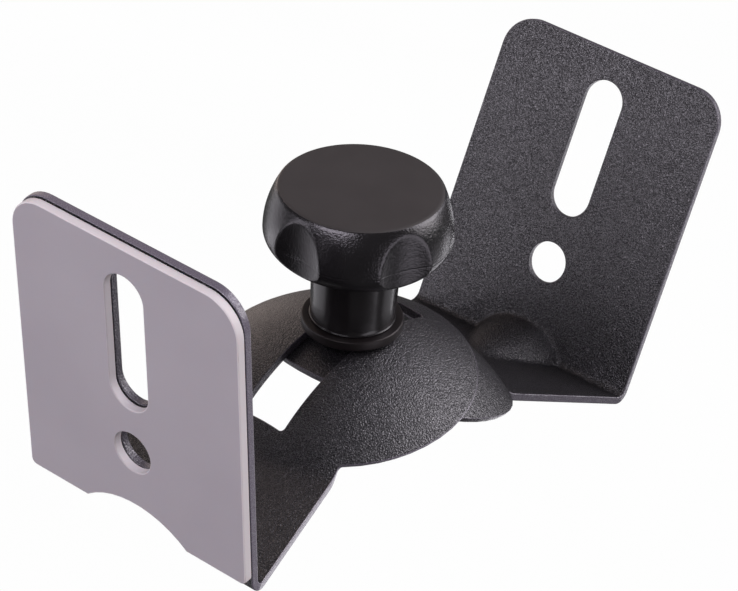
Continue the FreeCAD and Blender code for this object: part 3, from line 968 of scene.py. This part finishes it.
def knob_smooth():
    # The stem, smoother than the head
    dark, light = (0.0075, 0.0062, 0.0068), (0.0095, 0.0080, 0.0088)
    look = Look("knob_plastic_smooth")
    wave = look.noise(size_mm=3.0, detail=1.0, roughness=0.4)
    fine = look.noise(size_mm=0.25, detail=2.0, roughness=0.5)
    look.bump(look.math("ADD", wave, look.math("MULTIPLY", fine, 0.12)), distance_mm=0.03)
    look.colour(look.blotches(wave, dark, light))
    look.roughness(fine, least=0.18, most=0.23)
    look.set(Specular_IOR_Level=0.5, Specular_Tint=(1.0, 0.97, 1.01, 1))
    return look.material


def knob_matte():
    # The flat top
    dark, light = (0.0290, 0.0245, 0.0252), (0.0330, 0.0280, 0.0288)
    look = Look("knob_plastic_matte")
    grain = look.noise(size_mm=0.16, detail=2.0, roughness=0.6)
    cloud = look.noise(size_mm=9.0, detail=2.0, roughness=0.5)
    look.bump(grain, distance_mm=0.05, strength=0.6)
    look.colour(look.blotches(cloud, dark, light))
    look.roughness(grain, least=0.60, most=0.70)
    look.set(Specular_IOR_Level=0.3)
    return look.material


def washer_plastic():
    dark, light = (0.0050, 0.0036, 0.0040), (0.0078, 0.0058, 0.0063)
    look = Look("washer_plastic_black")
    grain = look.noise(size_mm=0.3, detail=2.0, roughness=0.5)
    look.bump(grain, distance_mm=0.03, strength=0.4)
    look.colour(look.mix(grain, dark, light))
    look.roughness(grain, least=0.40, most=0.50)
    look.set(Specular_IOR_Level=0.3, Specular_Tint=(1.0, 0.90, 0.93, 1))
    return look.material


def zinc_steel():
    # Dark zinc plating
    dark, light = (0.052, 0.053, 0.058), (0.078, 0.076, 0.078)
    look = Look("zinc_steel")
    brush = look.noise(size_mm=0.7, detail=3.0, roughness=0.6)
    cloud = look.noise(size_mm=5.0, detail=2.0, roughness=0.5)
    look.bump(brush, distance_mm=0.02, strength=0.3)
    look.colour(look.blotches(cloud, dark, light))
    look.roughness(brush, least=0.28, most=0.42)
    look.set(Metallic=1.0)
    return look.material


def insert_brass():
    dark, light = (0.62, 0.44, 0.18), (0.74, 0.56, 0.27)
    look = Look("insert_brass")
    brush = look.noise(size_mm=0.5, detail=3.0, roughness=0.6)
    look.bump(brush, distance_mm=0.02, strength=0.3)
    look.colour(look.mix(brush, dark, light))
    look.roughness(brush, least=0.25, most=0.40)
    look.set(Metallic=1.0)
    return look.material


def wear(obj, *materials):
    obj.data.materials.clear()
    for material in materials:
        obj.data.materials.append(material)


# Making the pieces


def add_brackets():
    coat = powder_coat()
    for name, node, form, place, body in (
        ("wall_bracket_sheet", "wall_bracket", WALL_FORM, wall_place(), "wall_arm"),
        ("speaker_bracket_sheet", "speaker_bracket", SPEAKER_FORM, speaker_place(), "speaker_arm"),
    ):
        made = bracket(name, form, place)
        wear(made, coat)
        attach(made, body)
        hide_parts(node)


def add_pad():
    made = pad("speaker_pad_sheet", speaker_place())
    wear(made, pad_rubber())
    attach(made, "speaker_arm")
    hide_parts("speaker_pad")


def add_knob():
    made = turned("hand_knob_body", knob_section(), clamp_place(), KNOB_TURNS, scallop_limit)
    wear(made, knob_plastic(), knob_matte(), knob_smooth())
    top_look, stem_look = 1, 2
    axis = np.array(clamp_place())[:3, 2]
    centre = np.array(JOINT_CENTRE) * MM
    top = (KNOB_EQUATOR + KNOB_UPPER_HEIGHT - KNOB_TOP_LOOK_DEPTH) * MM
    for face in made.data.polygons:
        offset = np.array(face.center) - centre
        height = offset @ axis
        if height > top:
            face.material_index = top_look
        elif np.linalg.norm(offset - height * axis) < STEM_TOP_R * MM:
            face.material_index = stem_look
    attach(made, "knob")
    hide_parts("hand_knob")


def add_washer():
    made = turned("seat_washer_body", washer_section(), clamp_place(), WASHER_TURNS)
    wear(made, washer_plastic())
    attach(made, "seat")
    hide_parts("seat_washer")


def dress_cad_nodes():
    for node, material, width in (
        ("clamp_bolt", zinc_steel(), 0.35),
        ("clamp_plate", zinc_steel(), 0.3),
        ("knob_insert", insert_brass(), 0.2),
    ):
        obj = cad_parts[node]
        wear(obj, material)
        bevel = obj.modifiers.new("edge_round", "BEVEL")
        bevel.width = width * MM
        bevel.segments = BEVEL_SEGMENTS
        bevel.limit_method = "ANGLE"
        bevel.angle_limit = math.radians(BEVEL_ANGLE)
        bevel.harden_normals = True


# Stage


def add_floor():
    # A pale floor that shines evenly and neither lights the object nor shows in its gloss
    half = FLOOR_HALF_SIZE
    outline = [(-half, -half), (half, -half), (half, half), (-half, half)]
    corners = [(x, y, FLOOR_Z) for x, y in outline]
    mesh = bpy.data.meshes.new("floor")
    mesh.from_pydata(corners, [], [(0, 1, 2, 3)])
    floor = bpy.data.objects.new("floor", mesh)
    bpy.context.scene.collection.objects.link(floor)
    look = Look("floor_pale")
    cloud = look.noise(size_mm=400.0, detail=2.0, roughness=0.5)
    pale = look.mix(cloud, (0.985, 0.985, 0.985), (0.995, 0.995, 0.995))
    look.link(pale, look.shader.inputs["Emission Color"])
    look.set(Base_Color=(0, 0, 0, 1), Roughness=1.0, Specular_IOR_Level=0.0, Emission_Strength=1.0)
    wear(floor, look.material)
    floor.visible_diffuse = False
    floor.visible_glossy = False


def add_soft_light(name, azimuth, elevation, power, tint):
    # A soft box on a ring about the middle of the object
    light = bpy.data.lights.new(name, "AREA")
    light.shape = "RECTANGLE"
    light.size, light.size_y = LIGHT_SIZE
    light.energy = power
    light.color = tint
    obj = bpy.data.objects.new(name, light)
    a, e = math.radians(azimuth), math.radians(elevation)
    outward = Vector((math.cos(a) * math.cos(e), math.sin(a) * math.cos(e), math.sin(e)))
    obj.location = LIGHT_AIM + outward * LIGHT_DISTANCE
    obj.rotation_euler = (-outward).to_track_quat("-Z", "Y").to_euler()
    obj.visible_camera = False
    bpy.context.scene.collection.objects.link(obj)


def add_world():
    # White behind the object, and a faint even glow on it
    world = bpy.data.worlds.new("studio")
    world.use_nodes = True
    tree = world.node_tree
    background = tree.nodes["Background"]
    background.inputs["Color"].default_value = (1, 1, 1, 1)
    paths = tree.nodes.new("ShaderNodeLightPath")
    strength = tree.nodes.new("ShaderNodeMapRange")
    strength.inputs["To Min"].default_value = WORLD_GLOW
    strength.inputs["To Max"].default_value = 1.0
    tree.links.new(paths.outputs["Is Camera Ray"], strength.inputs["Value"])
    tree.links.new(strength.outputs["Result"], background.inputs["Strength"])
    bpy.context.scene.world = world


def add_lights():
    for name, azimuth, elevation, power, tint in (
        ("front", 0, 10, 11.8, COOL),
        ("back_right", 120, 35, 9.5, WHITE),
        ("top_right", 120, 65, 8.7, COOL),
        ("low_back", 180, -15, 3.8, COOL),
        ("front_left", 330, -15, 5.3, COOL),
        ("low_right", 90, -15, 3.5, COOL),
        ("high_back", 150, 35, 2.3, COOL),
        ("high_left", 270, 35, 2.0, WARM),
        ("low_left", 270, -15, 1.9, COOL),
        ("under_left", 270, -40, 1.7, COOL),
        ("back_left", 240, 10, 1.4, WARM),
        ("low_back_right", 150, -15, 1.0, COOL),
    ):
        add_soft_light(name, azimuth, elevation, power, tint)


def add_camera():
    data = bpy.data.cameras.new("photo_view")
    data.lens = CAMERA_LENS
    data.sensor_width = CAMERA_SENSOR
    data.clip_start = CAMERA_NEAR
    data.clip_end = CAMERA_FAR
    camera = bpy.data.objects.new("photo_view", data)
    axes = Matrix((CAMERA_RIGHT, CAMERA_UP, -CAMERA_FORWARD)).transposed()
    camera.matrix_world = Matrix.Translation(CAMERA_AT) @ axes.to_4x4()
    bpy.context.scene.collection.objects.link(camera)
    bpy.context.scene.camera = camera


add_brackets()
add_pad()
add_knob()
add_washer()
dress_cad_nodes()
add_floor()
add_world()
add_lights()
add_camera()
bpy.context.scene.view_settings.view_transform = "Standard"
bpy.context.scene.view_settings.look = "None"
